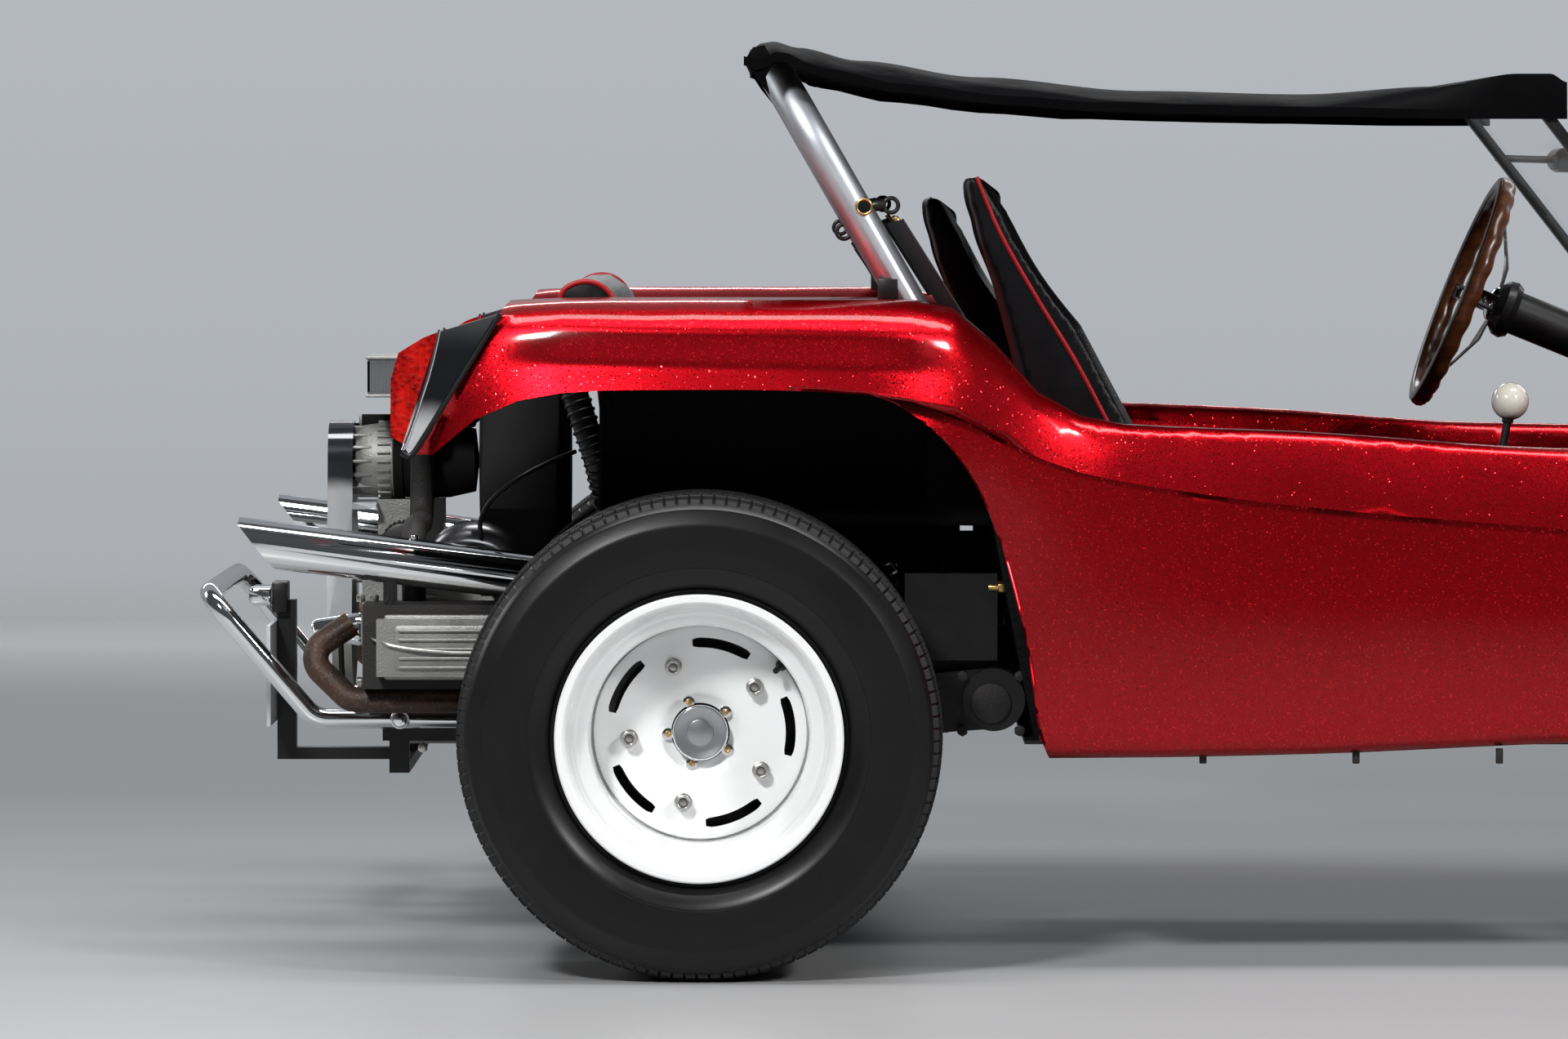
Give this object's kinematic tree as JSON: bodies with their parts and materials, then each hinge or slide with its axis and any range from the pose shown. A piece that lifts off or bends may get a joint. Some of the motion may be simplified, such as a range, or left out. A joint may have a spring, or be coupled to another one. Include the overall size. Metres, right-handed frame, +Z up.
{
  "type": "dune buggy",
  "caption": "Open dune buggy with a red metal-flake tub, wide rear tyres on white rims, an open rear engine, a roll hoop and a canvas top.",
  "frame": {"origin": "middle of the vehicle's box, on the ground", "axes": "+X to the front, +Y to the driver's left, +Z up"},
  "size_m": [3.484, 1.66, 1.342],
  "materials": {
    "black_plastic": "black",
    "black_steel": "satin black",
    "black_vinyl": "grained black vinyl",
    "blank_plate": "blank",
    "canvas": "black coated canvas",
    "cast_alloy": "as cast, oily",
    "cast_iron": "dull",
    "chrome": "polished",
    "glass": "clear",
    "mirror": "silvered",
    "paper": "pleated filter element",
    "red_flake": "metal-flake red under clear gloss",
    "red_lens": "red transparent",
    "rusty_steel": "heat-stained brown",
    "satin_steel": "brushed",
    "tyre": "black rubber, matt",
    "white_paint": "gloss white",
    "wood": "varnished wood rim"
  },
  "bodies": {
    "chassis": {"air_cleaner": "paper", "alternator": "cast_alloy", "belt_guard": "chrome", "body_shell": "red_flake", "canvas_top": "canvas", "carburettor": "cast_alloy", "cylinders": "cast_iron", "dash": "black_vinyl", "engine_case": "cast_alloy", "fan_shroud": "black_steel", "floor_controls": "black_steel", "floor_pan": "black_steel", "front_beam": "black_steel", "front_bumper": "chrome", "fuel_tank": "black_steel", "head_lamps": "chrome", "headers": "rusty_steel", "mirror": "mirror", "mufflers": "chrome", "plate": "blank_plate", "rear_axles": "cast_iron", "rear_bench": "black_vinyl", "rear_brackets": "black_steel", "rear_bumper": "chrome", "roll_bar": "satin_steel", "seat_frames": "black_steel", "seat_left": "black_vinyl", "seat_right": "black_vinyl", "shifter": "chrome", "shock_absorbers": "black_steel", "side_panel_left": "red_flake", "side_panel_right": "red_flake", "steering_column": "black_steel", "tail_lamp_housings": "black_plastic", "tail_lamp_lenses": "red_lens", "trailing_arms": "black_steel", "transaxle": "cast_alloy", "valve_covers": "cast_alloy", "windscreen_frame": "satin_steel", "windscreen_glass": "glass"},
    "steering_wheel": {"steering_wheel": "wood"},
    "pitman_arm": {"pitman_arm": "cast_iron"},
    "knuckle_left": {"knuckle_left": "cast_iron"},
    "knuckle_right": {"knuckle_right": "cast_iron"},
    "tie_rod_left": {"tie_rod_left": "black_steel"},
    "tie_rod_right": {"tie_rod_right": "black_steel"},
    "wheel_rear_left": {"drum_rear_left": "cast_iron", "rim_rear_left": "white_paint", "tyre_rear_left": "tyre"},
    "wheel_rear_right": {"drum_rear_right": "cast_iron", "rim_rear_right": "white_paint", "tyre_rear_right": "tyre"},
    "wheel_front_left": {"drum_front_left": "cast_iron", "rim_front_left": "white_paint", "tyre_front_left": "tyre"},
    "wheel_front_right": {"drum_front_right": "cast_iron", "rim_front_right": "white_paint", "tyre_front_right": "tyre"}
  },
  "joints": [
    {"name": "rear_left_spin", "type": "hinge", "parent": "chassis", "child": "wheel_rear_left", "pos_m": [-0.99, 0.685, 0.348], "axis": [0, 1, 0], "continuous": true},
    {"name": "front_left_steer", "type": "hinge", "parent": "chassis", "child": "knuckle_left", "pos_m": [1.042, 0.6, 0.318], "axis": [0, 0, 1], "range_deg": [-25, 25]},
    {"name": "front_left_spin", "type": "hinge", "parent": "knuckle_left", "child": "wheel_front_left", "pos_m": [1.042, 0.7, 0.318], "axis": [0, 1, 0], "continuous": true},
    {"name": "tie_rod_left_pivot", "type": "hinge", "parent": "knuckle_left", "child": "tie_rod_left", "pos_m": [0.932, 0.6, 0.372], "axis": [0, 0, 1], "range_deg": [-25, 25]},
    {"name": "rear_right_spin", "type": "hinge", "parent": "chassis", "child": "wheel_rear_right", "pos_m": [-0.99, -0.685, 0.348], "axis": [0, 1, 0], "continuous": true},
    {"name": "front_right_steer", "type": "hinge", "parent": "chassis", "child": "knuckle_right", "pos_m": [1.042, -0.6, 0.318], "axis": [0, 0, 1], "range_deg": [-25, 25]},
    {"name": "front_right_spin", "type": "hinge", "parent": "knuckle_right", "child": "wheel_front_right", "pos_m": [1.042, -0.7, 0.318], "axis": [0, 1, 0], "continuous": true},
    {"name": "tie_rod_right_pivot", "type": "hinge", "parent": "knuckle_right", "child": "tie_rod_right", "pos_m": [0.932, -0.6, 0.372], "axis": [0, 0, 1], "range_deg": [-25, 25]},
    {"name": "pitman_swing", "type": "hinge", "parent": "chassis", "child": "pitman_arm", "pos_m": [1.042, 0.15, 0.39], "axis": [0, 0, 1], "range_deg": [-25, 25]},
    {"name": "steering_wheel_turn", "type": "hinge", "parent": "chassis", "child": "steering_wheel", "pos_m": [0.19, 0.3, 0.968], "axis": [-0.9272, 0, 0.3746], "range_deg": [-350, 350]}
  ],
  "couplings": [
    {"joint": "front_right_steer", "follows": "front_left_steer", "ratio": 1},
    {"joint": "tie_rod_left_pivot", "follows": "front_left_steer", "ratio": -1},
    {"joint": "tie_rod_right_pivot", "follows": "front_left_steer", "ratio": -1},
    {"joint": "pitman_swing", "follows": "front_left_steer", "ratio": 1},
    {"joint": "steering_wheel_turn", "follows": "front_left_steer", "ratio": 14}
  ]
}
